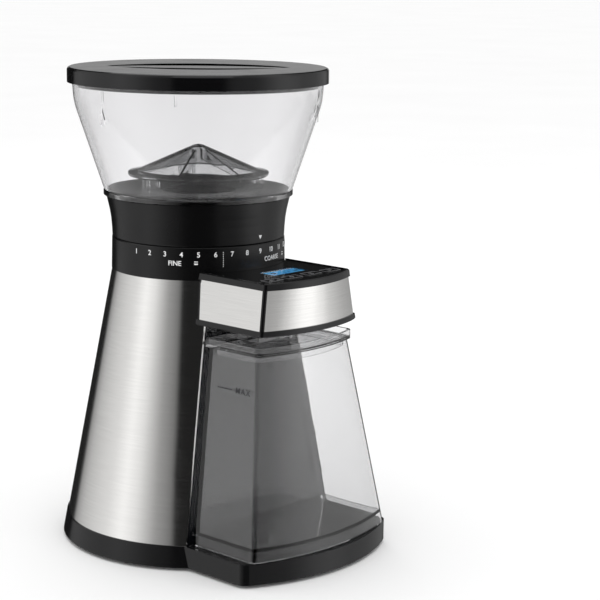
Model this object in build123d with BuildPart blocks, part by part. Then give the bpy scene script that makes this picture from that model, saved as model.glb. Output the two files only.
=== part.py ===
from build123d import *
import math
import os

os.makedirs("parts", exist_ok=True)

# Driving dimensions in mm. Z is up, the front of the grinder faces -Y, and the
# feet stand on the plane Z = 0. Sizes are drawn round the burr axis, and every
# part is then moved back by ROW_Y so that the origin is under the whole
# grinder's middle.
BASE_BOTTOM = 2.0
BASE_TOP = 14.9
BASE_R_LOW = 87.4
BASE_R_HIGH = 85.0
BASE_WALL = 3.0
PLATFORM_HALF = 65.0
PLATFORM_CORNER_Y = -104.0
PLATFORM_APEX_Y = -123.2
STEP_HALF = 52.0
STEP_TOP = 18.0

ROW_Y = (-PLATFORM_APEX_Y - BASE_R_LOW) / 2

CONE_R_LOW = 84.2
CONE_TOP = 173.3
CONE_R_TOP = 54.6
STEEL = 0.8
HOUSING_WALL = 2.4
PANEL_LOW_Y = -55.1
PANEL_HIGH_Y = -45.2
PANEL_THICK = 3.0

HEAD_BOTTOM = 146.9
HEAD_TOP = 178.7
HEAD_TRAY_TOP = 150.5
HEAD_COVER_BOTTOM = 174.3
HEAD_BACK_Y = -38.0

DIAL_TOP = 193.4
DIAL_R = 54.9
COLLAR_BOTTOM = 193.8
COLLAR_TOP = 219.6
HOPPER_RIM_Z = 292.4
HOPPER_RIM_R = 78.65
HOPPER_WALL = 2.5
LID_R = 81.5
LID_TOP = 299.0

CHAMBER_R = 37.0
CHAMBER_BORE_R = 34.0
SHAFT_R = 4.0
GEAR_MODULE = 1.0
PINION_TEETH = 15
WHEEL_TEETH = 45
GEAR_DISTANCE = GEAR_MODULE * (PINION_TEETH + WHEEL_TEETH) / 2
IDLER_ANGLE = 30.0
MOTOR_ANGLE = 150.0
IDLER_X = GEAR_DISTANCE * math.cos(math.radians(IDLER_ANGLE))
IDLER_Y = GEAR_DISTANCE * math.sin(math.radians(IDLER_ANGLE))
MOTOR_X = IDLER_X + GEAR_DISTANCE * math.cos(math.radians(MOTOR_ANGLE))
MOTOR_Y = IDLER_Y + GEAR_DISTANCE * math.sin(math.radians(MOTOR_ANGLE))

JAR_FOOT_Z = 15.1
JAR_FLOOR_Z = 21.0
JAR_TOP_Z = 134.4
JAR_WALL = 2.2
INLET_Z = 30.0
BUTTON_Y = -89.2
LCD_X = 3.5
BUTTON_XS = (-25.5, -8.5, 8.5, 25.5)


def cone_radius(z):
    """Radius of the steel skin at a height."""
    share = (z - BASE_TOP) / (CONE_TOP - BASE_TOP)
    return CONE_R_LOW + (CONE_R_TOP - CONE_R_LOW) * share


def panel_y(z):
    """Y of the front panel's face at a height."""
    share = (z - BASE_TOP) / (HEAD_BOTTOM - BASE_TOP)
    return PANEL_LOW_Y + (PANEL_HIGH_Y - PANEL_LOW_Y) * share


def turned(points):
    """Solid turned about Z from (radius, height) points."""
    with BuildPart() as body:
        with BuildSketch(Plane.XZ):
            with BuildLine():
                Polyline(*points, close=True)
            make_face()
        revolve(axis=Axis.Z)
    return body.part


def cone_core(inset, z0, z1):
    """Solid cone that lies a set distance inside the steel skin."""
    r0 = cone_radius(z0) - inset
    r1 = cone_radius(z1) - inset
    return turned([(0, z0), (r0, z0), (r1, z1), (0, z1)])


def side_slab(points, half_width):
    """Solid from a (y, z) outline, centred on X = 0."""
    with BuildPart() as body:
        with BuildSketch(Plane.YZ):
            with BuildLine():
                Polyline(*points, close=True)
            make_face()
        extrude(amount=half_width, both=True)
    return body.part


def behind_panel(offset, z0, z1):
    """Everything further back than the panel face plus an offset."""
    y0 = panel_y(z0) + offset
    y1 = panel_y(z1) + offset
    return side_slab([(y0, z0), (110, z0), (110, z1), (y1, z1)], 110)


def bow_face(plane, half, back_y, corner_y, apex_y, corner_r):
    """Outline with straight back and sides and a bowed front edge."""
    with BuildSketch(plane) as outline:
        with BuildLine():
            Polyline((-half, corner_y), (-half, back_y), (half, back_y), (half, corner_y))
            ThreePointArc((half, corner_y), (0, apex_y), (-half, corner_y))
        make_face()
        if corner_r > 0:
            front = outline.vertices().sort_by(Axis.Y)[:2]
            fillet(front, radius=corner_r)
    return outline.sketch


def bow_block(z0, z1, low, high, corner_r):
    """Loft between two bowed outlines given as (half, back, corner, apex)."""
    with BuildPart() as body:
        add(bow_face(Plane.XY.offset(z0), *low, corner_r))
        add(bow_face(Plane.XY.offset(z1), *high, corner_r))
        loft()
    return body.part


def head_section(z, inset):
    """Bowed outline values of the head at a height."""
    share = (z - HEAD_BOTTOM) / (HEAD_TOP - HEAD_BOTTOM)
    half = 42.6 - 5.0 * share - inset
    corner = -96.6 + 1.6 * share + inset
    apex = -105.5 + 1.6 * share + inset
    return (half, HEAD_BACK_Y, corner, apex)


def head_block(z0, z1, inset, corner_r):
    """Slice of the head's outer form."""
    return bow_block(z0, z1, head_section(z0, inset), head_section(z1, inset), corner_r)


def jar_section(z, inset):
    """Bowed outline values of the grounds container at a height."""
    share = (z - JAR_FOOT_Z) / (JAR_TOP_Z - JAR_FOOT_Z)
    half = 59.5 - 19.0 * share - inset
    back = -58.2 + 6.6 * share - inset
    corner = -108.0 + 16.0 * share + inset
    apex = -119.5 + 20.0 * share + inset
    return (half, back, corner, apex)


def jar_block(z0, z1, inset, corner_r):
    """Slice of the grounds container's outer form."""
    return bow_block(z0, z1, jar_section(z0, inset), jar_section(z1, inset), corner_r)


def gear_points(teeth, module, first_tooth_deg):
    """Closed outline of an involute spur gear with thinned teeth."""
    pitch_r = module * teeth / 2
    base_r = pitch_r * math.cos(math.radians(20))
    tip_r = pitch_r + 0.9 * module
    root_r = pitch_r - 1.25 * module
    inv20 = math.tan(math.radians(20)) - math.radians(20)
    half_pitch = math.pi / (2 * teeth) - 0.06 / pitch_r
    radii = [root_r, max(base_r, root_r + 0.05)]
    for step in range(1, 6):
        radii.append(radii[1] + (tip_r - radii[1]) * step / 5)
    flank = []
    for r in radii:
        roll = math.acos(min(1.0, base_r / max(r, base_r)))
        flank.append((r, half_pitch + inv20 - (math.tan(roll) - roll)))
    points = []
    for tooth in range(teeth):
        middle = math.radians(first_tooth_deg) + 2 * math.pi * tooth / teeth
        for r, half in flank:
            points.append((r * math.cos(middle - half), r * math.sin(middle - half)))
        for r, half in reversed(flank):
            points.append((r * math.cos(middle + half), r * math.sin(middle + half)))
    return points


def gear_solid(teeth, first_tooth_deg, x, y, z0, height):
    """Involute gear standing at a place."""
    with BuildPart() as body:
        with BuildSketch(Plane.XY.offset(z0)):
            with BuildLine():
                Polyline(*gear_points(teeth, GEAR_MODULE, first_tooth_deg), close=True)
            make_face()
        extrude(amount=height)
    return body.part.moved(Location((x, y, 0)))


def save(part, name):
    """Move a sub-part into the row frame, label it and write its STEP file."""
    placed = part.moved(Location((0, ROW_Y, 0)))
    placed.label = name
    export_step(placed, f"parts/{name}.step")


FOOT_SPOTS = [(-48, -98), (48, -98), (-52, 52), (52, 52)]
COVER_SCREW_SPOTS = [(-30, -100), (30, -100), (-62, 20), (62, 20)]


def platform_block(z0, z1, inset, corner_r):
    """Slice of the platform that carries the container."""
    section = (PLATFORM_HALF - inset, -40, PLATFORM_CORNER_Y + inset, PLATFORM_APEX_Y + inset)
    return bow_block(z0, z1, section, section, corner_r)


def base_outline(inset, z0, z1):
    """Ring foot and platform joined into one solid."""
    with BuildPart() as body:
        add(turned([
            (0, z0),
            (BASE_R_LOW - inset, z0),
            (BASE_R_HIGH - inset, z1),
            (0, z1),
        ]))
        add(platform_block(z0, z1, inset, max(8 - inset, 1)))
    return body.part


def build_base():
    with BuildPart() as base_housing:
        add(base_outline(0, BASE_BOTTOM, BASE_TOP))
        add(base_outline(BASE_WALL, BASE_BOTTOM, BASE_TOP - 2.5), mode=Mode.SUBTRACT)
        with BuildSketch(Plane.XY.offset(4.2)):
            with Locations(*COVER_SCREW_SPOTS):
                Circle(4)
        extrude(amount=BASE_TOP - 2.5 - 4.2)
        with BuildSketch(Plane.XY.offset(4.2)):
            with Locations(*COVER_SCREW_SPOTS):
                Circle(1.5)
        extrude(amount=6.5, mode=Mode.SUBTRACT)
    save(base_housing.part, "base_housing")

    with BuildPart() as bottom_cover:
        add(base_outline(BASE_WALL + 0.2, BASE_BOTTOM, 4.0))
        with BuildSketch(Plane.XY.offset(1.9)):
            with Locations(*COVER_SCREW_SPOTS):
                Circle(1.7)
        extrude(amount=3, mode=Mode.SUBTRACT)
        with BuildSketch(Plane.XY.offset(1.9)):
            with Locations(*COVER_SCREW_SPOTS):
                Circle(3.2)
        extrude(amount=1.3, mode=Mode.SUBTRACT)
        with BuildSketch(Plane.XY.offset(1.9)):
            with Locations(*FOOT_SPOTS):
                Circle(8.2)
        extrude(amount=0.9, mode=Mode.SUBTRACT)
        with BuildSketch(Plane.XY.offset(1.9)):
            with GridLocations(7, 60, 9, 1):
                SlotOverall(18, 3, rotation=90)
        extrude(amount=3, mode=Mode.SUBTRACT)
    save(bottom_cover.part, "bottom_cover")

    with BuildPart() as rubber_feet:
        with BuildSketch():
            with Locations(*FOOT_SPOTS):
                Circle(8)
        extrude(amount=2.8)
    save(rubber_feet.part, "rubber_feet")

    with BuildPart() as bottom_screws:
        with BuildSketch(Plane.XY.offset(2.2)):
            with Locations(*COVER_SCREW_SPOTS):
                Circle(2.9)
        extrude(amount=1.0)
        with BuildSketch(Plane.XY.offset(3.2)):
            with Locations(*COVER_SCREW_SPOTS):
                Circle(1.45)
        extrude(amount=7)
    save(bottom_screws.part, "bottom_screws")

    with BuildPart() as dock_plate:
        section = (STEP_HALF, -50, -100.5, -116.5)
        add(bow_block(BASE_TOP, STEP_TOP, section, section, 6))
        add(behind_panel(0, BASE_TOP - 1, STEP_TOP + 1), mode=Mode.SUBTRACT)
        with BuildSketch(Plane.XY.offset(STEP_TOP - 0.6)):
            with Locations((0, -84)):
                RectangleRounded(84, 44, 8)
            with Locations((0, -84)):
                RectangleRounded(80, 40, 6, mode=Mode.SUBTRACT)
        extrude(amount=2, mode=Mode.SUBTRACT)
    save(dock_plate.part, "dock_plate")


def wall_openings():
    """Window behind the head for the chute, and the hole for the cord inlet."""
    with BuildPart() as body:
        with Locations((0, -50, 159.8)):
            Box(58, 30, 19.4)
        with BuildSketch(Plane.XZ.offset(-60)):
            with Locations((0, INLET_Z)):
                Circle(6.05)
        extrude(amount=-40)
    return body.part


def build_tower():
    """Inner housing, steel skin, front panel and the fixed dial ring."""
    with BuildPart() as main_housing:
        add(cone_core(STEEL, BASE_TOP, CONE_TOP))
        add(behind_panel(PANEL_THICK, BASE_TOP, CONE_TOP), mode=Mode.INTERSECT)
        hollow = cone_core(STEEL + HOUSING_WALL, BASE_TOP, CONE_TOP - 2.5)
        hollow = hollow & behind_panel(PANEL_THICK + HOUSING_WALL, BASE_TOP, CONE_TOP - 2.5)
        add(hollow, mode=Mode.SUBTRACT)
        with BuildSketch(Plane.XY.offset(CONE_TOP - 3)):
            Circle(CHAMBER_R + 0.3)
        extrude(amount=4, mode=Mode.SUBTRACT)
        add(wall_openings(), mode=Mode.SUBTRACT)
    save(main_housing.part, "main_housing")

    with BuildPart() as steel_shell:
        add(cone_core(0, BASE_TOP, CONE_TOP))
        add(cone_core(STEEL, BASE_TOP, CONE_TOP), mode=Mode.SUBTRACT)
        add(behind_panel(0, BASE_TOP, CONE_TOP), mode=Mode.INTERSECT)
        add(wall_openings(), mode=Mode.SUBTRACT)
    save(steel_shell.part, "steel_shell")

    with BuildPart() as front_panel:
        add(cone_core(STEEL, BASE_TOP, HEAD_BOTTOM))
        add(behind_panel(0, BASE_TOP, HEAD_BOTTOM), mode=Mode.INTERSECT)
        add(behind_panel(PANEL_THICK, BASE_TOP, HEAD_BOTTOM), mode=Mode.SUBTRACT)
    save(front_panel.part, "front_panel")

    with BuildPart() as panel_rail:
        low = STEP_TOP + 0.2
        high = STEP_TOP + 7.0
        outline = [(panel_y(low) - 2.4, low), (panel_y(low), low), (panel_y(high), high)]
        outline.append((panel_y(high) - 1.2, high))
        add(side_slab(outline, 50))
        fillet(panel_rail.edges().filter_by(Axis.Z, tolerance=20).group_by(Axis.Y)[0], radius=0.4)
    save(panel_rail.part, "panel_rail")

    with BuildPart() as dial_ring:
        add(turned([
            (50, CONE_TOP),
            (DIAL_R, CONE_TOP),
            (DIAL_R - 0.4, DIAL_TOP - 0.6),
            (DIAL_R - 1.0, DIAL_TOP),
            (39, DIAL_TOP),
            (39, DIAL_TOP - 3),
            (50, DIAL_TOP - 3),
        ]))
    save(dial_ring.part, "dial_ring")


def build_head():
    """Head that overhangs the container: shell, steel plates, controls."""
    skin = cone_core(-0.05, HEAD_BOTTOM - 5, CONE_TOP)
    ring = turned([(0, CONE_TOP - 1), (DIAL_R + 0.25, CONE_TOP - 1), (DIAL_R + 0.25, 185), (0, 185)])

    with BuildPart() as head_tray:
        add(head_block(HEAD_BOTTOM, HEAD_TRAY_TOP, 0, 3))
        bottom_edges = head_tray.faces().sort_by(Axis.Z)[0].edges()
        chamfer(bottom_edges.sort_by(Axis.Y)[:-1], length=0.8)
        add(skin, mode=Mode.SUBTRACT)
        with Locations((0, -60, 148)):
            Box(28.6, 15.2, 10, mode=Mode.SUBTRACT)
    save(head_tray.part, "head_tray")

    outer = head_block(HEAD_TRAY_TOP, HEAD_COVER_BOTTOM, 0.7, 1.8)
    outer = outer - head_block(HEAD_TRAY_TOP, HEAD_COVER_BOTTOM, 1.5, 1.2)
    front_zone = bow_like_wedge(2.6)
    side_zone = side_slab([(-30, 150), (-30, 175), (-93.1, 175), (-94.4, 150)], 60)
    edge_gap = cone_core(-1.3, HEAD_BOTTOM - 5, CONE_TOP) + turned([
        (0, CONE_TOP - 1),
        (DIAL_R + 1.4, CONE_TOP - 1),
        (DIAL_R + 1.4, 185),
        (0, 185),
    ])
    with BuildPart() as head_front_plate:
        add(outer)
        add(front_zone, mode=Mode.INTERSECT)
    save(head_front_plate.part, "head_front_plate")
    for name, side in (("head_side_plate_left", -1), ("head_side_plate_right", 1)):
        with BuildPart() as plate:
            add(outer)
            add(side_zone, mode=Mode.INTERSECT)
            with Locations((side * 40, -70, 162)):
                Box(40, 80, 40, mode=Mode.INTERSECT)
            add(edge_gap, mode=Mode.SUBTRACT)
        save(plate.part, name)

    with BuildPart() as head_frame:
        add(head_block(HEAD_TRAY_TOP, HEAD_COVER_BOTTOM, 1.5, 1.2))
        for corner in head_corners(front_zone, side_zone, edge_gap):
            add(corner)
        add(head_block(HEAD_TRAY_TOP, HEAD_COVER_BOTTOM, 2.8, 0), mode=Mode.SUBTRACT)
        add(skin, mode=Mode.SUBTRACT)
        add(ring, mode=Mode.SUBTRACT)
    save(head_frame.part, "head_frame")

    with BuildPart() as head_top_cover:
        add(head_block(HEAD_COVER_BOTTOM, HEAD_TOP, 0, 3))
        top_edges = head_top_cover.faces().sort_by(Axis.Z)[-1].edges()
        chamfer(top_edges.sort_by(Axis.Y)[:-1], length=0.7)
        add(ring, mode=Mode.SUBTRACT)
        recess = head_section(HEAD_TOP, 1.8)
        add(bow_block(HEAD_TOP - 0.5, HEAD_TOP + 1, recess, recess, 1.5), mode=Mode.SUBTRACT)
        with BuildSketch(Plane.XY.offset(HEAD_COVER_BOTTOM - 0.1)):
            with Locations((0, -68.5)):
                Rectangle(68, 31)
        extrude(amount=1.6, mode=Mode.SUBTRACT)
        with BuildSketch(Plane.XY.offset(HEAD_COVER_BOTTOM - 0.1)):
            with Locations(*[(x, BUTTON_Y) for x in BUTTON_XS]):
                RectangleRounded(14.0, 8.8, 1.2)
            with Locations((LCD_X, -71.5)):
                Rectangle(30, 12.4)
        extrude(amount=6, mode=Mode.SUBTRACT)
        with BuildSketch(Plane.XY.offset(HEAD_COVER_BOTTOM - 0.1)):
            with Locations((0, BUTTON_Y)):
                Rectangle(66.8, 9.6)
        extrude(amount=1.6, mode=Mode.SUBTRACT)
    save(head_top_cover.part, "head_top_cover")

    with BuildPart() as lcd_window:
        with Locations((LCD_X, -71.5, 177.2)):
            Box(29.8, 12.2, 1.8)
    save(lcd_window.part, "lcd_window")

    with BuildPart() as lcd_module:
        with Locations((LCD_X, -71.5, 173.8)):
            Box(28, 11.6, 4.8)
        with Locations((LCD_X, -71.5, 169.85)):
            Box(24, 8, 3.1)
    save(lcd_module.part, "lcd_module")

    with BuildPart() as control_board:
        with Locations((0, -80.5, 167.5)):
            Box(60, 24, 1.6)
        with Locations((26, -72, 166.4)):
            Box(6, 4, 3.8)
    save(control_board.part, "control_board")

    with BuildPart() as button_switches:
        with Locations(*[(x, BUTTON_Y, 169.3) for x in BUTTON_XS]):
            Box(6, 6, 2.0)
        with BuildSketch(Plane.XY.offset(170.3)):
            with Locations(*[(x, BUTTON_Y) for x in BUTTON_XS]):
                Circle(1.7)
        extrude(amount=1.0)
    save(button_switches.part, "button_switches")

    for number, x in enumerate(BUTTON_XS, start=1):
        with BuildPart() as button:
            with BuildSketch(Plane.XY.offset(174.0)):
                with Locations((x, BUTTON_Y)):
                    RectangleRounded(13.2, 8.0, 1.0)
            extrude(amount=4.6)
            fillet(button.faces().sort_by(Axis.Z)[-1].edges(), radius=0.4)
            with Locations((x, BUTTON_Y, 174.4)):
                Box(14.4, 8.8, 1.2)
            with BuildSketch(Plane.XY.offset(172.4)):
                with Locations((x, BUTTON_Y)):
                    Circle(2)
            extrude(amount=2)
        save(button.part, f"button_{number}")


def head_corners(front_zone, side_zone, edge_gap):
    """Corner strips that stay flush with the steel plates beside them."""
    band = head_block(HEAD_TRAY_TOP, HEAD_COVER_BOTTOM, 0.9, 1.8)
    band = band - head_block(HEAD_TRAY_TOP, HEAD_COVER_BOTTOM, 1.5, 1.2)
    front = band - front_zone - side_zone
    back = band & side_zone & edge_gap
    return front.solids() + back.solids()


def bow_like_wedge(corner_gap):
    """Region in front of the head, narrower than it by a gap each side."""
    low = head_section(HEAD_TRAY_TOP, 0)[0] - corner_gap
    high = head_section(HEAD_COVER_BOTTOM, 0)[0] - corner_gap
    with BuildPart() as body:
        with BuildSketch(Plane.XZ.offset(92)):
            with BuildLine():
                Polyline(
                    (-low, HEAD_TRAY_TOP),
                    (low, HEAD_TRAY_TOP),
                    (high, HEAD_COVER_BOTTOM),
                    (-high, HEAD_COVER_BOTTOM),
                    close=True,
                )
            make_face()
        extrude(amount=30)
    return body.part


def build_drive():
    """Motor, reduction gears and the burr shaft."""
    with BuildPart() as motor_body:
        with BuildSketch(Plane.XY.offset(45)):
            with Locations((MOTOR_X, MOTOR_Y)):
                Circle(26)
        extrude(amount=77)
        fillet(motor_body.edges().filter_by(GeomType.CIRCLE), radius=2)
        with BuildSketch(Plane.XY.offset(122)):
            with Locations((MOTOR_X, MOTOR_Y)):
                Circle(8)
        extrude(amount=3.8)
        with BuildSketch(Plane.XY.offset(58)):
            with Locations((MOTOR_X, MOTOR_Y)):
                Circle(3.05)
        extrude(amount=70, mode=Mode.SUBTRACT)
    save(motor_body.part, "motor_body")

    with BuildPart() as motor_end_cap:
        with BuildSketch(Plane.XY.offset(38)):
            with Locations((MOTOR_X, MOTOR_Y)):
                Circle(24)
        extrude(amount=7)
        with Locations((MOTOR_X - 12, MOTOR_Y, 36), (MOTOR_X + 12, MOTOR_Y, 36)):
            Box(5, 10, 4)
    save(motor_end_cap.part, "motor_end_cap")

    with BuildPart() as motor_shaft:
        with BuildSketch(Plane.XY.offset(58.3)):
            with Locations((MOTOR_X, MOTOR_Y)):
                Circle(3)
        extrude(amount=78.2)
    save(motor_shaft.part, "motor_shaft")

    with BuildPart() as motor_pinion:
        add(gear_solid(PINION_TEETH, MOTOR_ANGLE + 180 + 180 / PINION_TEETH, MOTOR_X, MOTOR_Y, 130, 6))
        with BuildSketch(Plane.XY.offset(129)):
            with Locations((MOTOR_X, MOTOR_Y)):
                Circle(3)
        extrude(amount=8, mode=Mode.SUBTRACT)
    save(motor_pinion.part, "motor_pinion")

    with BuildPart() as idler_gear:
        add(gear_solid(WHEEL_TEETH, MOTOR_ANGLE, IDLER_X, IDLER_Y, 130.2, 5.6))
        add(gear_solid(PINION_TEETH, IDLER_ANGLE + 180 + 180 / PINION_TEETH, IDLER_X, IDLER_Y, 135.8, 9))
        with BuildSketch(Plane.XY.offset(130)):
            with Locations((IDLER_X, IDLER_Y)):
                Circle(2.55)
        extrude(amount=20, mode=Mode.SUBTRACT)
    save(idler_gear.part, "idler_gear")

    with BuildPart() as output_gear:
        add(gear_solid(WHEEL_TEETH, IDLER_ANGLE, 0, 0, 138, 6))
        with BuildSketch(Plane.XY.offset(136.6)):
            Circle(8)
        extrude(amount=8.6)
        with BuildSketch(Plane.XY.offset(136)):
            Circle(SHAFT_R)
        extrude(amount=10, mode=Mode.SUBTRACT)
    save(output_gear.part, "output_gear")

    with BuildPart() as idler_pin:
        with BuildSketch(Plane.XY.offset(125.8)):
            with Locations((IDLER_X, IDLER_Y)):
                Circle(2.5)
        extrude(amount=21.2)
    save(idler_pin.part, "idler_pin")

    posts = [(-42, 10), (-20, -32), (38, -20), (-25, 38)]
    with BuildPart() as gearbox_plate:
        with BuildSketch(Plane.XY.offset(125.8)):
            Circle(50)
            with Locations((0, -60)):
                Rectangle(120, 44, mode=Mode.SUBTRACT)
            with Locations((0, 0)):
                Circle(6, mode=Mode.SUBTRACT)
            with Locations((MOTOR_X, MOTOR_Y)):
                Circle(5, mode=Mode.SUBTRACT)
            with Locations((IDLER_X, IDLER_Y)):
                Circle(2.5, mode=Mode.SUBTRACT)
        extrude(amount=3)
        with BuildSketch(Plane.XY.offset(128.8)):
            with Locations(*posts):
                Circle(4)
        extrude(amount=18.2)
    save(gearbox_plate.part, "gearbox_plate")

    with BuildPart() as lower_bearing:
        add(turned([(SHAFT_R + 0.05, 125.8), (6, 125.8), (6, 129.4), (SHAFT_R + 0.05, 129.4)]))
    save(lower_bearing.part, "lower_bearing")

    with BuildPart() as upper_bearing:
        add(turned([(SHAFT_R + 0.05, 147), (9, 147), (9, 151), (SHAFT_R + 0.05, 151)]))
    save(upper_bearing.part, "upper_bearing")

    with BuildPart() as drive_shaft:
        with BuildSketch(Plane.XY.offset(126)):
            Circle(SHAFT_R)
        extrude(amount=65)
    save(drive_shaft.part, "drive_shaft")


def build_grinding():
    """Grinding chamber, burrs and the chute to the container."""
    with BuildPart() as grind_chamber:
        add(turned([
            (9, 147),
            (46, 147),
            (46, 149.5),
            (CHAMBER_R, 149.5),
            (CHAMBER_R, CONE_TOP),
            (46, CONE_TOP),
            (46, 175.5),
            (CHAMBER_R, 175.5),
            (CHAMBER_R, 189.6),
            (CHAMBER_BORE_R, 189.6),
            (CHAMBER_BORE_R, 151),
            (9, 151),
        ]))
        with Locations((0, -36, 158.4)):
            Box(24.4, 8, 12, mode=Mode.SUBTRACT)
        with BuildSketch(Plane.XY.offset(146)):
            with Locations((0, -57)):
                Rectangle(120, 40, mode=Mode.ADD)
        extrude(amount=4, mode=Mode.SUBTRACT)
        with BuildSketch(Plane.XY.offset(146)):
            with Locations((IDLER_X, IDLER_Y)):
                Circle(2.5)
        extrude(amount=3.6, mode=Mode.SUBTRACT)
        with BuildSketch(Plane.XY.offset(CONE_TOP - 1)):
            with PolarLocations(41.5, 4, start_angle=45):
                Circle(1.6)
        extrude(amount=5, mode=Mode.SUBTRACT)
    save(grind_chamber.part, "grind_chamber")

    with BuildPart() as chamber_screws:
        with BuildSketch(Plane.XY.offset(175.5)):
            with PolarLocations(41.5, 4, start_angle=45):
                Circle(2.9)
        extrude(amount=2)
        with BuildSketch(Plane.XY.offset(CONE_TOP)):
            with PolarLocations(41.5, 4, start_angle=45):
                Circle(1.6)
        extrude(amount=2.2)
    save(chamber_screws.part, "chamber_screws")

    with BuildPart() as chute:
        add(side_slab([
            (-28, 150.6),
            (-52.7, 150.6),
            (-52.7, 143),
            (-67.3, 143),
            (-67.3, 166),
            (-28, 166),
        ], 14))
        add(side_slab([
            (-28, 152.4),
            (-50, 152.4),
            (-54.4, 148),
            (-54.4, 142),
            (-65.6, 142),
            (-65.6, 164.4),
            (-28, 164.4),
        ], 12.2), mode=Mode.SUBTRACT)
        add(turned([(0, 140), (CHAMBER_R, 140), (CHAMBER_R, 180), (0, 180)]), mode=Mode.SUBTRACT)
    save(chute.part, "chute")

    with BuildPart() as sweeper:
        add(turned([(SHAFT_R, 151.6), (30, 151.6), (30, 153), (9, 153), (9, 161), (SHAFT_R, 161)]))
        for index in range(4):
            add(sweeper_fin().rotate(Axis.Z, 90 * index))
    save(sweeper.part, "sweeper")

    with BuildPart() as cone_burr:
        add(turned([(SHAFT_R, 161), (16.2, 161), (15.0, 171), (8, 186), (SHAFT_R, 186)]))
        for index in range(8):
            add(burr_blade().rotate(Axis.Z, 45 * index))
    save(cone_burr.part, "cone_burr")

    with BuildPart() as burr_nut:
        with BuildSketch(Plane.XY.offset(186)):
            RegularPolygon(6.5, 6)
            Circle(SHAFT_R, mode=Mode.SUBTRACT)
        extrude(amount=4)
    save(burr_nut.part, "burr_nut")

    with BuildPart() as ring_burr:
        add(turned([(19.9, 166), (26, 166), (26, 186), (24.2, 186), (19.4, 172)]))
        for index in range(16):
            add(ring_groove().rotate(Axis.Z, 22.5 * index), mode=Mode.SUBTRACT)
    save(ring_burr.part, "ring_burr")

    with BuildPart() as burr_carrier:
        add(turned([(26, 164), (33.5, 164), (33.5, 188.4), (26, 188.4)]))
        with PolarLocations(30, 6, start_angle=30):
            with Locations((0, 0, 185)):
                Cylinder(1.6, 10, mode=Mode.SUBTRACT)
    save(burr_carrier.part, "burr_carrier")


def sweeper_fin():
    """Fin that pushes the grounds round to the chute."""
    with BuildPart() as body:
        with Locations((19, 0, 156)):
            Box(21, 2, 7)
    return body.part


def burr_blade():
    """One radial cutting blade of the cone burr."""
    with BuildPart() as body:
        with BuildSketch(Plane.XZ.offset(-0.9)):
            with BuildLine():
                Polyline((6, 162), (18.4, 162), (17.4, 171), (9.6, 185), (6, 185), close=True)
            make_face()
        extrude(amount=1.8)
    return body.part


def ring_groove():
    """One cutting groove in the ring burr's bore."""
    with BuildPart() as body:
        with BuildSketch(Plane.XZ.offset(-0.8)):
            with BuildLine():
                Polyline((17, 168), (20.6, 172), (25.0, 187), (17, 187), close=True)
            make_face()
        extrude(amount=1.6)
    return body.part


def build_electrics():
    """Boards, interlock and the cord inlet."""
    with BuildPart() as power_board:
        with Locations((0, -22, 21)):
            Box(80, 44, 1.6)
        with Locations((-24, -22, 27)):
            Box(20, 26, 10.4)
        with Locations((10, -30, 25)):
            Box(16, 12, 6.4)
        with BuildSketch(Plane.XY.offset(21.8)):
            with Locations((28, -14), (28, -30)):
                Circle(6)
        extrude(amount=18)
        with BuildSketch(Plane.XY.offset(BASE_TOP)):
            with Locations((-36, -4), (36, -4), (-36, -40), (36, -40)):
                Circle(2.4)
        extrude(amount=5.3)
    save(power_board.part, "power_board")

    with BuildPart() as safety_switch:
        with Locations((24, -36, 118)):
            Box(14, 8, 10)
        with Locations((24, -40.4, 118)):
            Box(3, 1.4, 4)
    save(safety_switch.part, "safety_switch")

    with BuildPart() as cord_inlet:
        with BuildSketch(Plane.XZ.offset(-(cone_radius(INLET_Z) - 6))):
            with Locations((0, INLET_Z)):
                Circle(6)
                Circle(3.4, mode=Mode.SUBTRACT)
        extrude(amount=-9)
    save(cord_inlet.part, "cord_inlet")


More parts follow.
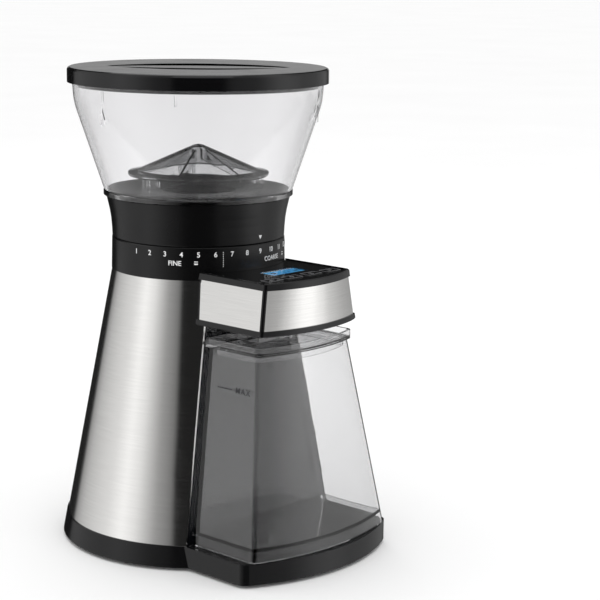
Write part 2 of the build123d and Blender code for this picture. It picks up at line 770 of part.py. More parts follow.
def build_top():
    """Grind collar, bean hopper, bean guard and lid."""
    with BuildPart() as grind_collar:
        add(turned([
            (24, COLLAR_BOTTOM),
            (54.0, COLLAR_BOTTOM),
            (54.3, COLLAR_BOTTOM + 0.5),
            (54.5, 199),
            (55.0, 205),
            (55.8, 210),
            (56.8, 214.5),
            (57.9, COLLAR_TOP - 0.4),
            (57.6, COLLAR_TOP),
            (55.6, COLLAR_TOP),
            (54.2, 214.5),
            (52.2, 206),
            (51.2, COLLAR_BOTTOM + 3),
            (24, COLLAR_BOTTOM + 3),
        ]))
        add(turned([(28, 190.2), (32, 190.2), (32, COLLAR_BOTTOM), (28, COLLAR_BOTTOM)]))
    save(grind_collar.part, "grind_collar")

    with BuildPart() as hopper:
        with BuildSketch(Plane.XZ) as section:
            with BuildLine():
                Polyline(
                    (50, COLLAR_TOP + 0.3),
                    (59.6, COLLAR_TOP + 0.3),
                    (59.6, 222.4),
                    (59.3, 223),
                    (77.4, 277),
                    (HOPPER_RIM_R, HOPPER_RIM_Z),
                    (HOPPER_RIM_R - HOPPER_WALL, HOPPER_RIM_Z),
                    (77.4 - HOPPER_WALL, 277.4),
                    (57.2, 223),
                    (57.0, 222),
                    (50, 222),
                    close=True,
                )
            make_face()
            knee = section.vertices().sort_by(lambda v: abs(v.Y - 277))[:2]
            fillet(knee, radius=40)
            rim = section.vertices().sort_by(Axis.Y)[-2:]
            fillet(rim, radius=1.1)
        revolve(axis=Axis.Z)
        with BuildSketch(Plane.XY.offset(267)):
            with PolarLocations(HOPPER_RIM_R - HOPPER_WALL, 3, start_angle=57.8):
                Rectangle(2.2, 1.6)
        extrude(amount=20)
    save(hopper.part, "hopper")

    with BuildPart() as hopper_floor:
        add(turned([
            (17, 198.5),
            (19, 198.5),
            (19, 209),
            (24.6, 217),
            (46, 219.6),
            (49.6, 219.6),
            (49.6, 222.2),
            (56.4, 222.2),
            (57.0, 224.0),
            (50, 224.0),
            (23.6, 222.8),
            (22.6, 219),
            (17, 210.6),
        ]))
    save(hopper_floor.part, "hopper_floor")

    with BuildPart() as bean_guard:
        with BuildSketch(Plane.XZ) as section:
            with BuildLine():
                Polyline(
                    (0, 251.6),
                    (3, 251.0),
                    (38, 235.6),
                    (44.4, 234.4),
                    (44.4, 231.8),
                    (38, 232.6),
                    (3, 248.2),
                    (0, 248.8),
                    close=True,
                )
            make_face()
            fillet(section.vertices().filter_by(lambda v: v.X > 44), radius=1.1)
        revolve(axis=Axis.Z)
        for index in range(3):
            add(guard_leg().rotate(Axis.Z, 57.8 + 120 * index))
        for index in range(6):
            add(guard_fin().rotate(Axis.Z, 27.8 + 60 * index))
    save(bean_guard.part, "bean_guard")

    build_lid()


def guard_leg():
    """Leg that carries the bean guard above the hopper floor."""
    with BuildPart() as body:
        with Locations((38, 0, 228.4)):
            Box(1.4, 11, 8.8)
        for y in (-4.8, -1.6, 1.6, 4.8):
            with Locations((38.6, y, 228.4)):
                Box(4.6, 1.5, 8.8)
    return body.part


def guard_fin():
    """Stiffening fin under the bean guard's cone."""
    with BuildPart() as body:
        with BuildSketch(Plane.XZ):
            with BuildLine():
                Polyline((6, 248), (36, 234.4), (36, 231.6), (6, 240), close=True)
            make_face()
        extrude(amount=0.7, both=True)
    return body.part


def lens(plane, half_long, half_wide):
    """Lens outline whose long axis is X."""
    with BuildSketch(plane) as outline:
        with BuildLine():
            ThreePointArc((-half_long, 0), (0, half_wide), (half_long, 0))
            ThreePointArc((half_long, 0), (0, -half_wide), (-half_long, 0))
        make_face()
    return outline.sketch


def build_lid():
    """Round lid with a sunk lens-shaped well and a finger bar across it."""
    with BuildPart() as hopper_lid:
        add(turned([
            (0, LID_TOP - 2.5),
            (75, LID_TOP - 2.5),
            (75.0, 287.5),
            (75.6, 287.5),
            (75.8, HOPPER_RIM_Z + 0.3),
            (79.6, HOPPER_RIM_Z + 0.3),
            (79.6, 289.7),
            (LID_R, 289.7),
            (LID_R, LID_TOP - 1.6),
            (LID_R - 0.5, LID_TOP - 0.5),
            (LID_R - 1.6, LID_TOP),
            (0, LID_TOP),
        ]))
        add(lens(Plane.XY.offset(LID_TOP - 9), 60, 33))
        extrude(amount=9)
        add(lens(Plane.XY.offset(LID_TOP - 7), 57, 30))
        extrude(amount=8, mode=Mode.SUBTRACT)
        add(lens(Plane.XY.offset(LID_TOP - 7.2), 59, 12.5))
        extrude(amount=7.2 - 0.3)
    turned_lid = hopper_lid.part.rotate(Axis.Z, -47)
    save(turned_lid, "hopper_lid")


def build_container():
    """Clear grounds container and its lift-off lid."""
    with BuildPart() as container_jar:
        add(jar_block(JAR_FOOT_Z, JAR_TOP_Z, 0, 5))
        add(jar_block(JAR_FLOOR_Z + 2.0, JAR_TOP_Z, JAR_WALL, 3), mode=Mode.SUBTRACT)
        add(jar_block(JAR_FOOT_Z, JAR_FLOOR_Z, 2.0, 3), mode=Mode.SUBTRACT)
        with Locations((0, -60, JAR_FOOT_Z)):
            Box(108, 12, 2 * (JAR_FLOOR_Z - JAR_FOOT_Z), mode=Mode.SUBTRACT)
    save(container_jar.part, "container_jar")

    tray = jar_section(JAR_TOP_Z, -1.6)
    plug = jar_section(JAR_TOP_Z, JAR_WALL + 0.5)
    plug_inner = jar_section(JAR_TOP_Z, JAR_WALL + 2.1)
    well = jar_section(JAR_TOP_Z, 0.2)
    with BuildPart() as container_lid:
        add(bow_block(JAR_TOP_Z + 0.2, JAR_TOP_Z + 5.6, tray, tray, 5.5))
        add(bow_block(JAR_TOP_Z + 2.0, JAR_TOP_Z + 5.6, well, well, 4), mode=Mode.SUBTRACT)
        add(bow_block(JAR_TOP_Z - 4.6, JAR_TOP_Z + 0.2, plug, plug, 2.5))
        add(bow_block(JAR_TOP_Z - 4.6, JAR_TOP_Z + 0.2, plug_inner, plug_inner, 1), mode=Mode.SUBTRACT)
        with Locations((0, -60.2, JAR_TOP_Z + 2.9)):
            Box(35, 19.6, 5.4)
        with Locations((0, -60.2, JAR_TOP_Z)):
            Box(32, 17.4, 20, mode=Mode.SUBTRACT)
        with Locations((-17, -50.8, JAR_TOP_Z + 5), (17, -50.8, JAR_TOP_Z + 5)):
            Box(3, 1.6, 4.4)
    save(container_lid.part, "container_lid")


build_base()
build_tower()
build_head()
build_drive()
build_grinding()
build_electrics()
build_top()
build_container()
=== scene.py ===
import math

import bmesh
import bpy
from mathutils import Matrix, Vector


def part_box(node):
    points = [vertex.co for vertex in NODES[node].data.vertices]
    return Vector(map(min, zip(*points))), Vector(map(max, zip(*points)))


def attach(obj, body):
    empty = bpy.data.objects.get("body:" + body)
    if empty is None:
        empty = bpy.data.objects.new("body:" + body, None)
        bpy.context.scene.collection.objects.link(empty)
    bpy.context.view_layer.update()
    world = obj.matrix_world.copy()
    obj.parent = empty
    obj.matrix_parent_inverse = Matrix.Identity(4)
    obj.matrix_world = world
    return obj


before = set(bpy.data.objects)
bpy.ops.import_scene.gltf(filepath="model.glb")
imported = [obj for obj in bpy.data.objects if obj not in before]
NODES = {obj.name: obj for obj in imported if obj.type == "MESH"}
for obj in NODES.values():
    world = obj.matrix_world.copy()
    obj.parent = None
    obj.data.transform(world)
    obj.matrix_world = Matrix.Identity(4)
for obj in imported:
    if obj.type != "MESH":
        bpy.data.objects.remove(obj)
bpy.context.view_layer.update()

ring_lo, ring_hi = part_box("dial_ring")
AXIS_Y = (ring_lo.y + ring_hi.y) / 2


# ---------------------------------------------------------------- node tools
class NodeTree:
    """Helper round the node tree of a material or a world, which starts empty."""

    def __init__(self, owner):
        owner.use_nodes = True
        self.tree = owner.node_tree
        self.tree.nodes.clear()

    def add(self, kind, **props):
        node = self.tree.nodes.new(kind)
        for key, value in props.items():
            setattr(node, key, value)
        return node

    def link(self, a, b):
        self.tree.links.new(a, b)

    def ramp(self, fac, stops):
        """Colour ramp from stops of a position and a grey level or a colour."""
        node = self.add("ShaderNodeValToRGB")
        elements = node.color_ramp.elements
        while len(elements) < len(stops):
            elements.new(0.5)
        for element, (pos, value) in zip(elements, stops):
            element.position = pos
            if isinstance(value, (int, float)):
                value = (value, value, value, 1)
            element.color = value
        self.link(fac, node.inputs["Fac"])
        return node.outputs["Color"]


class Mat(NodeTree):
    """One material, with a Principled shader wired to its output."""

    def __init__(self, name):
        self.mat = bpy.data.materials.new(name)
        super().__init__(self.mat)
        self.out = self.add("ShaderNodeOutputMaterial")
        self.bsdf = self.add("ShaderNodeBsdfPrincipled")
        self.link(self.bsdf.outputs["BSDF"], self.out.inputs["Surface"])

    def set(self, **values):
        """Uniform numbers, straight on the shader's own sockets."""
        for key, value in values.items():
            self.bsdf.inputs[key.replace("_", " ")].default_value = value

    def coords(self, scale=(1, 1, 1)):
        """Place on the piece, in its own frame."""
        coord = self.add("ShaderNodeTexCoord")
        mapping = self.add("ShaderNodeMapping")
        mapping.inputs["Scale"].default_value = scale
        self.link(coord.outputs["Object"], mapping.inputs["Vector"])
        return mapping.outputs["Vector"]

    def noise(self, vector, scale, detail=4.0, rough=0.55):
        node = self.add("ShaderNodeTexNoise")
        node.inputs["Scale"].default_value = scale
        node.inputs["Detail"].default_value = detail
        node.inputs["Roughness"].default_value = rough
        self.link(vector, node.inputs["Vector"])
        return node.outputs["Fac"]

    def bump(self, height, strength, distance):
        node = self.add("ShaderNodeBump")
        node.inputs["Strength"].default_value = strength
        node.inputs["Distance"].default_value = distance
        self.link(height, node.inputs["Height"])
        self.link(node.outputs["Normal"], self.bsdf.inputs["Normal"])

    def color(self, fac, stops):
        self.link(self.ramp(fac, stops), self.bsdf.inputs["Base Color"])

    def rough(self, fac, low, low_value, high, high_value):
        """Roughness that goes between two values as fac goes from low to high."""
        stops = [(low, low_value), (high, high_value)]
        self.link(self.ramp(fac, stops), self.bsdf.inputs["Roughness"])


def shades(color, dark, start, end):
    """Ramp stops from a darker shade of a colour to the colour itself."""
    return [(start, (*[c * dark for c in color], 1)), (end, (*color, 1))]


def plastic(name, color, rough, grain=1800.0, bump=0.06, spread=0.08, shine=0.5):
    """Moulded plastic with a fine surface texture and slight gloss changes."""
    m = Mat(name)
    vec = m.coords()
    m.color(m.noise(vec, 35.0), shades(color, 0.9, 0.3, 0.7))
    m.rough(m.noise(vec, 60.0, detail=6.0), 0.3, rough - spread / 2, 0.7, rough + spread / 2)
    m.bump(m.noise(vec, grain, detail=2.0), strength=bump, distance=0.0002)
    m.set(Specular_IOR_Level=shine)
    return m.mat


def radial(m):
    """Vector whose X is the angle about the burr axis and Z the height."""
    coord = m.add("ShaderNodeTexCoord")
    centre = m.add("ShaderNodeMapping")
    centre.inputs["Location"].default_value = (0, -AXIS_Y, 0)
    m.link(coord.outputs["Object"], centre.inputs["Vector"])
    split = m.add("ShaderNodeSeparateXYZ")
    m.link(centre.outputs["Vector"], split.inputs["Vector"])
    angle = m.add("ShaderNodeMath", operation="ARCTAN2")
    m.link(split.outputs["Y"], angle.inputs[0])
    m.link(split.outputs["X"], angle.inputs[1])
    join = m.add("ShaderNodeCombineXYZ")
    m.link(angle.outputs[0], join.inputs["X"])
    m.link(split.outputs["Z"], join.inputs["Z"])
    return join.outputs["Vector"]


LINES_PER_METRE = 2100.0


def brushed(name, around, color=(0.81, 0.802, 0.786), rough=0.13):
    """Brushed stainless steel. The lines run round the burr axis, or along X and Y."""
    m = Mat(name)
    if around:
        mapping = m.add("ShaderNodeMapping")
        mapping.inputs["Scale"].default_value = (2.2, 1, LINES_PER_METRE)
        m.link(radial(m), mapping.inputs["Vector"])
        vec = mapping.outputs["Vector"]
    else:
        vec = m.coords((26, 26, LINES_PER_METRE))
    lines = m.noise(vec, 1.0, detail=6.0, rough=0.75)
    m.color(lines, shades(color, 0.88, 0.3, 0.7))
    m.rough(lines, 0.3, rough - 0.03, 0.7, rough + 0.04)
    m.bump(lines, strength=0.16, distance=0.00005)
    m.set(Metallic=1.0)
    return m.mat


def clear(name, color, absorb=0.0, rough=0.015, ior=1.49):
    """Clear moulded plastic with faint flow marks, darker where it is thick."""
    m = Mat(name)
    vec = m.coords()
    m.color(m.noise(vec, 12.0), shades(color, 0.985, 0.3, 0.7))
    m.rough(m.noise(vec, 90.0), 0.3, rough, 0.8, rough + 0.02)
    m.bump(m.noise(vec, 25.0, detail=1.0), strength=0.04, distance=0.0004)
    m.set(Transmission_Weight=1.0, IOR=ior)
    if absorb:
        inside = m.add("ShaderNodeVolumeAbsorption")
        inside.inputs["Color"].default_value = (0.0, 0.0, 0.0, 1)
        inside.inputs["Density"].default_value = absorb
        m.link(inside.outputs["Volume"], m.out.inputs["Volume"])
    return m.mat


def metal(name, color, rough):
    """Plain machined or plated metal."""
    m = Mat(name)
    vec = m.coords()
    m.color(m.noise(vec, 300.0), shades(color, 0.85, 0.3, 0.7))
    m.rough(m.noise(vec, 500.0), 0.3, rough, 0.7, rough + 0.12)
    m.bump(m.noise(vec, 1500.0), strength=0.1, distance=0.0001)
    m.set(Metallic=1.0)
    return m.mat


def printed(name, color, rough=0.45):
    """Printed marking with a slightly uneven ink film."""
    m = Mat(name)
    vec = m.coords()
    m.color(m.noise(vec, 900.0), shades(color, 0.9, 0.3, 0.6))
    m.rough(m.noise(vec, 600.0), 0.3, rough - 0.05, 0.7, rough + 0.1)
    return m.mat


def glow(name, low, high, strength):
    """Backlit display colour."""
    m = Mat(name)
    vec = m.coords()
    colour = m.ramp(m.noise(vec, 60.0, detail=2.0), [(0.3, (*low, 1)), (0.7, (*high, 1))])
    m.link(colour, m.bsdf.inputs["Base Color"])
    m.link(colour, m.bsdf.inputs["Emission Color"])
    m.set(Emission_Strength=strength, Roughness=0.3)
    return m.mat


BLACK_GLOSS = plastic("black_gloss_plastic", (0.0035, 0.0035, 0.004), 0.1,
                      grain=700.0, bump=0.01, spread=0.04, shine=0.4)
BLACK_PANEL = plastic("black_panel_plastic", (0.005, 0.0055, 0.007), 0.1,
                      grain=700.0, bump=0.01, spread=0.04, shine=0.3)
BLACK_SATIN = plastic("black_satin_plastic", (0.0035, 0.0035, 0.0038), 0.24,
                      bump=0.03, shine=0.3)
BLACK_BASE = plastic("black_base_plastic", (0.005, 0.005, 0.0055), 0.15, bump=0.02, shine=0.3)
BLACK_MATT = plastic("black_inner_plastic", (0.02, 0.02, 0.021), 0.5, bump=0.08)
RUBBER = plastic("foot_rubber", (0.02, 0.02, 0.02), 0.75, bump=0.15)
NYLON = plastic("white_nylon", (0.72, 0.7, 0.64), 0.45)
BOARD = plastic("circuit_board_green", (0.03, 0.16, 0.06), 0.4)
STEEL_ROUND = brushed("brushed_steel_round", True)
STEEL_FLAT = brushed("brushed_steel_plate", False)
BURR_STEEL = metal("ground_burr_steel", (0.5, 0.5, 0.51), 0.28)
ZINC = metal("zinc_plate", (0.68, 0.68, 0.7), 0.3)
BRONZE = metal("sintered_bronze", (0.55, 0.38, 0.18), 0.4)
MOTOR = metal("motor_can", (0.45, 0.46, 0.48), 0.35)
CLEAR_HOPPER = clear("clear_hopper_plastic", (0.985, 0.982, 0.99), absorb=20.0)
CLEAR_GUARD = clear("smoked_guard_plastic", (0.9, 0.905, 0.91), absorb=60.0)
CLEAR_SMOKE = clear("smoked_container_plastic", (0.985, 0.985, 0.99), absorb=38.0)
DISPLAY_GLASS = clear("display_window_plastic", (0.9, 0.95, 1.0))
WHITE_INK = printed("white_ink", (0.85, 0.85, 0.85))
GREY_INK = printed("grey_ink", (0.2, 0.2, 0.21))
DARK_INK = printed("dark_ink", (0.03, 0.03, 0.035))
LCD_BLUE = glow("lcd_blue_backlight", (0.04, 0.24, 0.5), (0.1, 0.42, 0.66), 0.9)
LCD_DARK = printed("lcd_segment", (0.004, 0.01, 0.05), 0.3)

LOOKS = {
    BLACK_GLOSS: ["head_top_cover", "head_frame", "head_tray", "hopper_lid",
                  "button_1", "button_2", "button_3", "button_4"],
    BLACK_PANEL: ["front_panel", "panel_rail", "dock_plate"],
    BLACK_BASE: ["base_housing"],
    BLACK_SATIN: ["dial_ring", "grind_collar", "hopper_floor"],
    BLACK_MATT: ["bottom_cover", "main_housing", "lcd_module", "button_switches", "motor_end_cap",
                 "grind_chamber", "chute", "safety_switch", "sweeper", "burr_carrier"],
    RUBBER: ["rubber_feet", "cord_inlet"],
    NYLON: ["gearbox_plate", "output_gear", "idler_gear"],
    BOARD: ["control_board", "power_board"],
    STEEL_ROUND: ["steel_shell"],
    STEEL_FLAT: ["head_front_plate", "head_side_plate_left", "head_side_plate_right"],
    BURR_STEEL: ["cone_burr", "ring_burr"],
    ZINC: ["bottom_screws", "chamber_screws", "idler_pin", "drive_shaft", "burr_nut",
           "motor_shaft"],
    BRONZE: ["lower_bearing", "upper_bearing", "motor_pinion"],
    MOTOR: ["motor_body"],
    CLEAR_HOPPER: ["hopper"],
    CLEAR_GUARD: ["bean_guard"],
    CLEAR_SMOKE: ["container_jar", "container_lid"],
    DISPLAY_GLASS: ["lcd_window"],
}
for look, names in LOOKS.items():
    for name in names:
        mesh = NODES[name].data
        mesh.materials.clear()
        mesh.materials.append(look)
unlooked = sorted(set(NODES) - {n for names in LOOKS.values() for n in names})
assert not unlooked, unlooked


# ---------------------------------------------------------------- pieces
DIAL_THICK = 0.00012
PRINT_THICK = 0.0001


def piece(name, mesh, material, body):
    """Link a finished mesh as a piece that rides on a body."""
    mesh.materials.clear()
    mesh.materials.append(material)
    obj = bpy.data.objects.new(name, mesh)
    bpy.context.scene.collection.objects.link(obj)
    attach(obj, body)


def text_mesh(text, size, thick=DIAL_THICK, spacing=1.0, bold=0.0):
    """Solid lettering centred on the origin, in the XY plane."""
    curve = bpy.data.curves.new("text_" + text, "FONT")
    curve.body = text
    curve.size = size
    curve.align_x = "CENTER"
    curve.align_y = "CENTER"
    curve.extrude = thick / 2
    curve.space_character = spacing
    curve.offset = bold
    curve.resolution_u = 3
    obj = bpy.data.objects.new("text_tmp", curve)
    bpy.context.scene.collection.objects.link(obj)
    bpy.context.view_layer.update()
    depsgraph = bpy.context.evaluated_depsgraph_get()
    mesh = bpy.data.meshes.new_from_object(obj.evaluated_get(depsgraph))
    bpy.data.objects.remove(obj)
    bpy.data.curves.remove(curve)
    return mesh


def slab_mesh(outlines, thick=DIAL_THICK):
    """Thin flat solids from lists of XY outlines."""
    bm = bmesh.new()
    for outline in outlines:
        low = [bm.verts.new((x, y, -thick / 2)) for x, y in outline]
        high = [bm.verts.new((x, y, thick / 2)) for x, y in outline]
        bm.faces.new(high)
        bm.faces.new(list(reversed(low)))
        for i in range(len(outline)):
            j = (i + 1) % len(outline)
            bm.faces.new((low[i], low[j], high[j], high[i]))
    mesh = bpy.data.meshes.new("slab")
    bm.to_mesh(mesh)
    bm.free()
    return mesh


def bar(x, y, w, h, parts=1):
    """Rectangle outline, cut along X so that it can follow a curve."""
    n = max(parts, 1)
    low = [(x - w / 2 + w * i / n, y - h / 2) for i in range(n + 1)]
    high = [(x + w / 2 - w * i / n, y + h / 2) for i in range(n + 1)]
    return low + high


def wrap(mesh, radius_at, angle_deg, z, lift=0.0001):
    """Bend a flat mesh round the burr axis, at an angle counted from the front."""
    for v in mesh.vertices:
        height = z + v.co.y
        r = radius_at(height) + lift + v.co.z
        a = math.radians(angle_deg) + v.co.x / radius_at(height)
        v.co = Vector((r * math.sin(a), AXIS_Y - r * math.cos(a), height))
    mesh.update()
    return mesh


def merge(meshes, name):
    """Join several meshes into one."""
    bm = bmesh.new()
    for mesh in meshes:
        bm.from_mesh(mesh)
        bpy.data.meshes.remove(mesh)
    out = bpy.data.meshes.new(name)
    bm.to_mesh(out)
    bm.free()
    return out


def placed(mesh, matrix):
    """Move a mesh, and hand it back for use in a call."""
    mesh.transform(matrix)
    return mesh


# Dial numbers, marks and words on the fixed ring. Heights count down from its top,
# and places along it count in number steps from number 9, which is at the front.
DIAL_R = ring_hi.x
DIAL_TOP = ring_hi.z
DIAL_TAPER = 0.0004
DIAL_STEP = 10.97  # degrees
LAST_NUMBER, FRONT_NUMBER = 18, 9
NUMBER_DROP, NUMBER_SIZE = 0.0044, 0.0044
WORD_DROP, WORD_SIZE = 0.0098, 0.0042
MARK_DROP = 0.0099
DOT_COUNT, DOT_DROP, DOT_PITCH, DOT_PLACE = 8, 0.0031, 0.0012, -2.55


def dial_radius(z):
    """Outside of the dial ring, which is a little narrower at its top."""
    return DIAL_R - DIAL_TAPER * (z - ring_lo.z) / (DIAL_TOP - ring_lo.z)


def on_dial(mesh, steps, drop):
    """Put a flat mesh on the ring."""
    return wrap(mesh, dial_radius, steps * DIAL_STEP, DIAL_TOP - drop)


dial_print = []
for number in range(1, LAST_NUMBER + 1):
    flat = text_mesh(str(number), NUMBER_SIZE, spacing=0.92, bold=0.00005)
    dial_print.append(on_dial(flat, number - FRONT_NUMBER, NUMBER_DROP))
for i in range(DOT_COUNT):
    dot = slab_mesh([bar(0, 0, 0.0004, 0.0006)])
    dial_print.append(on_dial(dot, DOT_PLACE, DOT_DROP + DOT_PITCH * i))
for steps, word in ((-5.4, "FINE"), (1.1, "COARSE")):
    dial_print.append(on_dial(text_mesh(word, WORD_SIZE, bold=0.00004), steps, WORD_DROP))
for steps in (-4.15, 2.6):
    mark = slab_mesh([bar(0, 0, 0.0022, 0.0008, 3), bar(0, 0.0014, 0.0022, 0.0005, 3)])
    dial_print.append(on_dial(mark, steps, MARK_DROP))
piece("dial_numbers", merge(dial_print, "dial_numbers"), WHITE_INK, "base")

# Pointer on the turning collar, whose side flares gently upwards: height, radius.
COLLAR_SIDE = [(0.1938, 0.0543), (0.199, 0.0545), (0.205, 0.0550), (0.210, 0.0558)]
POINTER_Z = 0.1978


def collar_radius(z):
    """Outside of the collar at a height."""
    for (z0, r0), (z1, r1) in zip(COLLAR_SIDE, COLLAR_SIDE[1:]):
        if z <= z1:
            return r0 + (r1 - r0) * (z - z0) / (z1 - z0)
    return COLLAR_SIDE[-1][1]


arrow = slab_mesh([[(-0.0013, 0.0011), (0, -0.0013), (0.0013, 0.0011)]])
piece("dial_pointer", wrap(arrow, collar_radius, 0.0, POINTER_Z),
      WHITE_INK, "collar")

# Backlit display under its window, with plain segments: a block, a number and
# four rising level bars. Each level bar is a step along and up from the last.
SEGMENT_THICK = 0.00005
SCREEN_MARGIN, SCREEN_DEPTH = 0.0012, 0.0098
SCREEN_LIFT, SEGMENT_LIFT = 0.00008, 0.0001
READING, READING_SIZE, READING_X = "12", 0.0062, 0.0015
LEVEL_COUNT, LEVEL_X, LEVEL_PITCH, LEVEL_WIDTH = 4, 0.0078, 0.0014, 0.0008
LEVEL_Y, LEVEL_RISE = -0.0018, 0.0004
LEVEL_HEIGHT, LEVEL_GROWTH = 0.002, 0.0008
win_lo, win_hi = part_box("lcd_window")
lcd_lo, lcd_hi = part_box("lcd_module")
mid = (win_lo + win_hi) / 2
lcd_z = lcd_hi.z + SCREEN_LIFT
screen = slab_mesh([bar(0, 0, lcd_hi.x - lcd_lo.x - SCREEN_MARGIN, SCREEN_DEPTH)], PRINT_THICK)
piece("lcd_screen", placed(screen, Matrix.Translation((mid.x, mid.y, lcd_z))),
      LCD_BLUE, "base")
reading = text_mesh(READING, READING_SIZE, SEGMENT_THICK)
segments = [placed(reading, Matrix.Translation((READING_X, 0, 0))),
            slab_mesh([bar(-0.009, 0.0, 0.0042, 0.0035)], SEGMENT_THICK)]
for i in range(LEVEL_COUNT):
    level = bar(LEVEL_X + i * LEVEL_PITCH, LEVEL_Y + i * LEVEL_RISE,
                LEVEL_WIDTH, LEVEL_HEIGHT + i * LEVEL_GROWTH)
    segments.append(slab_mesh([level], SEGMENT_THICK))
over_screen = Matrix.Translation((mid.x, mid.y, lcd_z + SEGMENT_LIFT))
piece("lcd_segments", placed(merge(segments, "lcd_segments"), over_screen),
      LCD_DARK, "base")

# Thin printed outlines and plain symbols on the four buttons: a minus, a plus, two
# upright bars and a triangle.
OUTLINE_WIDTH, OUTLINE_HEIGHT, OUTLINE_LINE = 0.0122, 0.0070, 0.0004


def outline_bars(w, h, t):
    """Four bars that frame a rectangle."""
    return [bar(0, h / 2, w, t), bar(0, -h / 2, w, t),
            bar(-w / 2, 0, t, h - t), bar(w / 2, 0, t, h - t)]


SYMBOLS = {
    "button_1": [bar(0, 0, 0.0036, 0.0007)],
    "button_2": [bar(0, 0, 0.0036, 0.0007), bar(0, 0.0011, 0.0007, 0.0014),
                 bar(0, -0.0011, 0.0007, 0.0014)],
    "button_3": [bar(-0.0008, 0, 0.0007, 0.0032), bar(0.0008, 0, 0.0007, 0.0032)],
    "button_4": [[(-0.0013, -0.0017), (0.0017, 0), (-0.0013, 0.0017)]],
}
for letter, (name, symbol) in zip("abcd", SYMBOLS.items()):
    lo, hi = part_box(name)
    at = Matrix.Translation(((lo.x + hi.x) / 2, (lo.y + hi.y) / 2, hi.z + PRINT_THICK / 2))
    outline = outline_bars(OUTLINE_WIDTH, OUTLINE_HEIGHT, OUTLINE_LINE)
    marks = slab_mesh(outline + symbol, PRINT_THICK)
    piece(name + "_print", placed(marks, at), GREY_INK, "button_" + letter)

# Fill line and word on the left side of the grounds container, which leans in.
jar_lo, jar_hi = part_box("container_jar")
JAR_LEAN = 0.019
FILL_Z = 0.1125
WORD_Y, LINE_Y = AXIS_Y - 0.0835, AXIS_Y - 0.0685
PRINT_GAP = 0.00006
jar_height = jar_hi.z - jar_lo.z


def jar_left_face(y, z):
    """Point on the container's left side."""
    share = (z - jar_lo.z) / jar_height
    return Vector((jar_lo.x + JAR_LEAN * share - PRINT_GAP, y, z))


side_turn = Matrix.Rotation(-math.pi / 2, 4, "Z") @ Matrix.Rotation(math.pi / 2, 4, "X")
lean = Matrix.Rotation(math.atan(JAR_LEAN / jar_height), 4, "Y")
for text_name, mesh, y in (
    ("max_word", text_mesh("MAX", 0.0054, PRINT_THICK, spacing=1.15, bold=0.00006), WORD_Y),
    ("max_line", slab_mesh([bar(0, 0, 0.0125, 0.0007)], PRINT_THICK), LINE_Y),
):
    spot = Matrix.Translation(jar_left_face(y, FILL_Z))
    piece(text_name, placed(mesh, spot @ lean @ side_turn), DARK_INK, "container")


# ---------------------------------------------------------------- stage
# Brightness round the horizon, by angle in degrees. 0 is the side the camera stands
# on and 180 the far side. It is fixed in the room, and only reflections show it: the
# dark cards give the steel its dark bands, and the bright ones its highlights.
SURROUND = [
    (-180, 0.02), (-137, 0.015), (-131, 0.36), (-119, 0.58), (-99, 0.78), (-84, 0.9),
    (-67, 1.2), (-54, 0.98), (-46, 0.72), (-35, 0.4), (-21, 0.22), (-17, 0.015),
    (24, 0.02), (33, 0.34), (55, 0.5), (63, 0.76), (70, 1.05), (77, 1.3),
    (87, 1.32), (93, 1.15), (99, 0.98), (106, 0.74), (125, 0.5), (150, 0.35),
    (164, 0.02), (180, 0.02),
]
PLAIN_LIGHT = 1.08
CEILING_LIGHT = 0.85
REAR_GLOW = 0.42
# Where the far side's low glow and the ceiling start and are full: radians from the
# camera's side, then the sine of the height above the horizon.
REAR_ANGLE = (2.85, 2.95)
REAR_TOP = (0.12, 0.08)
CEILING_FROM = (0.55, 0.8)


class World(NodeTree):
    """The studio surround."""

    def __init__(self):
        world = bpy.data.worlds.new("studio")
        bpy.context.scene.world = world
        super().__init__(world)

    def math(self, operation, a, b):
        """Math node. Each input is a socket or a number."""
        node = self.add("ShaderNodeMath", operation=operation)
        for socket, value in zip(node.inputs, (a, b)):
            if isinstance(value, (int, float)):
                socket.default_value = value
            else:
                self.link(value, socket)
        return node.outputs[0]

    def ease(self, value, start, end):
        """0 at start, 1 at end."""
        node = self.add("ShaderNodeMapRange")
        node.inputs["From Min"].default_value = start
        node.inputs["From Max"].default_value = end
        self.link(value, node.inputs["Value"])
        return node.outputs["Result"]

    def background(self, color, strength):
        """Background light of a colour, or of the grey level in a socket."""
        node = self.add("ShaderNodeBackground")
        node.inputs["Strength"].default_value = strength
        if isinstance(color, tuple):
            node.inputs["Color"].default_value = color
        else:
            self.link(color, node.inputs["Color"])
        return node.outputs["Background"]


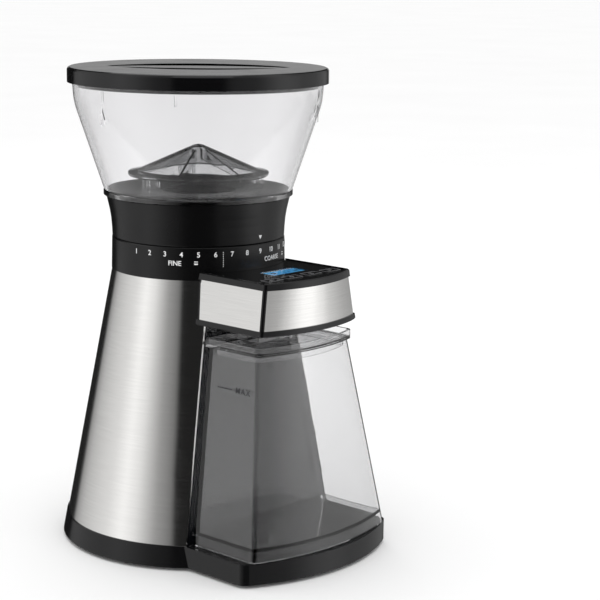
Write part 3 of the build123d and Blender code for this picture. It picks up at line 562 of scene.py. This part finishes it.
def studio_world():
    """Plain white for the eye and for soft light, with cards for reflections."""
    w = World()
    coord = w.add("ShaderNodeTexCoord")
    turn = w.add("ShaderNodeMapping")
    turn.inputs["Rotation"].default_value = (0, 0, CAMERA_TURN)
    w.link(coord.outputs["Generated"], turn.inputs["Vector"])
    split = w.add("ShaderNodeSeparateXYZ")
    w.link(turn.outputs["Vector"], split.inputs["Vector"])
    x, y, z = split.outputs
    angle = w.math("ARCTAN2", x, w.math("MULTIPLY", y, -1.0))
    stops = [((deg + 180) / 360, value) for deg, value in SURROUND]
    around = w.ramp(w.ease(angle, -math.pi, math.pi), stops)
    far_side = w.ease(w.math("ABSOLUTE", angle, 0), *REAR_ANGLE)
    rear = w.math("MULTIPLY", far_side, w.ease(z, *REAR_TOP))
    level = w.math("MAXIMUM", around, w.math("MULTIPLY", rear, REAR_GLOW))
    above = w.ease(z, *CEILING_FROM)
    blend = w.math("MULTIPLY", level, w.math("SUBTRACT", 1.0, above))
    lit_level = w.math("ADD", blend, w.math("MULTIPLY", above, CEILING_LIGHT))
    lit = w.background(lit_level, 1.0)
    plain = w.background((1, 1, 1, 1), PLAIN_LIGHT)
    path = w.add("ShaderNodeLightPath")
    unreflected = w.math("LESS_THAN", path.outputs["Glossy Depth"], 0.5)
    through = w.math("MULTIPLY", path.outputs["Is Transmission Ray"], unreflected)
    seen = w.math("MAXIMUM", path.outputs["Is Camera Ray"], path.outputs["Is Diffuse Ray"])
    mix = w.add("ShaderNodeMixShader")
    w.link(w.math("MAXIMUM", seen, through), mix.inputs[0])
    w.link(lit, mix.inputs[1])
    w.link(plain, mix.inputs[2])
    out = w.add("ShaderNodeOutputWorld")
    w.link(mix.outputs["Shader"], out.inputs["Surface"])


def area(name, at, aim, size, power):
    """Soft rectangular light that faces a point."""
    light = bpy.data.lights.new(name, "AREA")
    light.shape = "RECTANGLE"
    light.size, light.size_y = size
    light.energy = power
    obj = bpy.data.objects.new(name, light)
    bpy.context.scene.collection.objects.link(obj)
    obj.location = at
    obj.rotation_euler = (Vector(aim) - Vector(at)).to_track_quat("-Z", "Y").to_euler()


# Camera at the photograph's viewpoint, placed from the burr axis: how far back from
# it, how far to the side and how high.
CAMERA_TURN = math.radians(47.18)
CAMERA_PITCH = math.radians(10.95)
CAMERA_ROLL = math.radians(0.60)
CAMERA_LENS = 108.36
CAMERA_SENSOR = 36
CAMERA_BACK = 1.1317
CAMERA_SIDE = -0.06476
CAMERA_HEIGHT = 0.3705


def make_camera():
    """Camera turned, pitched and rolled by the angles above."""
    cos_a, sin_a = math.cos(CAMERA_TURN), math.sin(CAMERA_TURN)
    across = Vector((cos_a, -sin_a, 0))
    away = Vector((sin_a, cos_a, 0))
    cos_p, sin_p = math.cos(CAMERA_PITCH), math.sin(CAMERA_PITCH)
    forward = away * cos_p - Vector((0, 0, 1)) * sin_p
    upward = away * sin_p + Vector((0, 0, 1)) * cos_p
    cos_r, sin_r = math.cos(CAMERA_ROLL), math.sin(CAMERA_ROLL)
    right = across * cos_r + upward * sin_r
    up = upward * cos_r - across * sin_r
    data = bpy.data.cameras.new("camera")
    data.lens = CAMERA_LENS
    data.sensor_width = CAMERA_SENSOR
    camera = bpy.data.objects.new("camera", data)
    bpy.context.scene.collection.objects.link(camera)
    turn = Matrix((right, up, -forward)).transposed().to_4x4()
    place = Vector((0, AXIS_Y, CAMERA_HEIGHT)) - away * CAMERA_BACK - across * CAMERA_SIDE
    camera.matrix_world = Matrix.Translation(place) @ turn
    bpy.context.scene.camera = camera


FLOOR_RADIUS = 40.0
FLOOR_DROP = 0.0002


def make_floor():
    """Plain pale floor just under the feet. Mirror reflections leave it out."""
    bm = bmesh.new()
    bmesh.ops.create_circle(bm, cap_ends=True, segments=96, radius=FLOOR_RADIUS)
    mesh = bpy.data.meshes.new("floor")
    bm.to_mesh(mesh)
    bm.free()
    m = Mat("pale_floor")
    vec = m.coords()
    m.color(m.noise(vec, 3.0), [(0.3, 0.92), (0.7, 0.94)])
    m.set(Roughness=0.6, Specular_IOR_Level=0.0)
    mesh.materials.append(m.mat)
    floor = bpy.data.objects.new("floor", mesh)
    floor.location.z = -FLOOR_DROP
    floor.visible_glossy = False
    bpy.context.scene.collection.objects.link(floor)


studio_world()
make_camera()
make_floor()
area("key_top", at=(-0.5, -0.6, 1.5), aim=(0, 0, 0.1), size=(1.2, 1.2), power=3)
area("fill_back", at=(0.2, 0.9, 1.6), aim=(0, 0, 0), size=(1.6, 1.0), power=3)
bpy.context.scene.view_settings.view_transform = "Standard"
